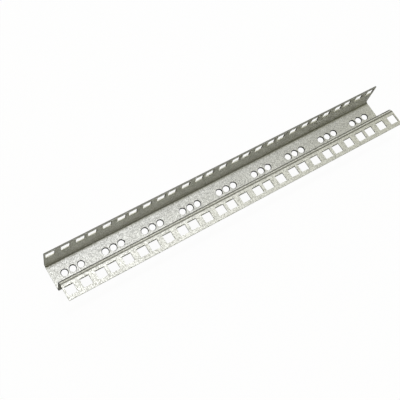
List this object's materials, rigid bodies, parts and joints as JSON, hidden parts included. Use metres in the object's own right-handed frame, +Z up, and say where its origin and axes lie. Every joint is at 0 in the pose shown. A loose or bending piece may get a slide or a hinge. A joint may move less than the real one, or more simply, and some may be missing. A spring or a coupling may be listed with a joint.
{
  "type": "rack mounting rail",
  "caption": "Folded galvanised steel rack rail with a flat web, a tall back flange and a stepped, outturned front flange, pierced with square cage-nut holes and round screw holes.",
  "frame": {"origin": "middle of the rail's bounding box at floor level, under the web", "axes": "+X along the rail, -Y towards the front flange's free edge, +Z up from the web"},
  "size_m": [0.4, 0.05, 0.0335],
  "materials": {
    "galvanised_steel": "galvanised, satin"
  },
  "bodies": {
    "root": {"mounting_rail": "galvanised_steel"}
  },
  "joints": []
}
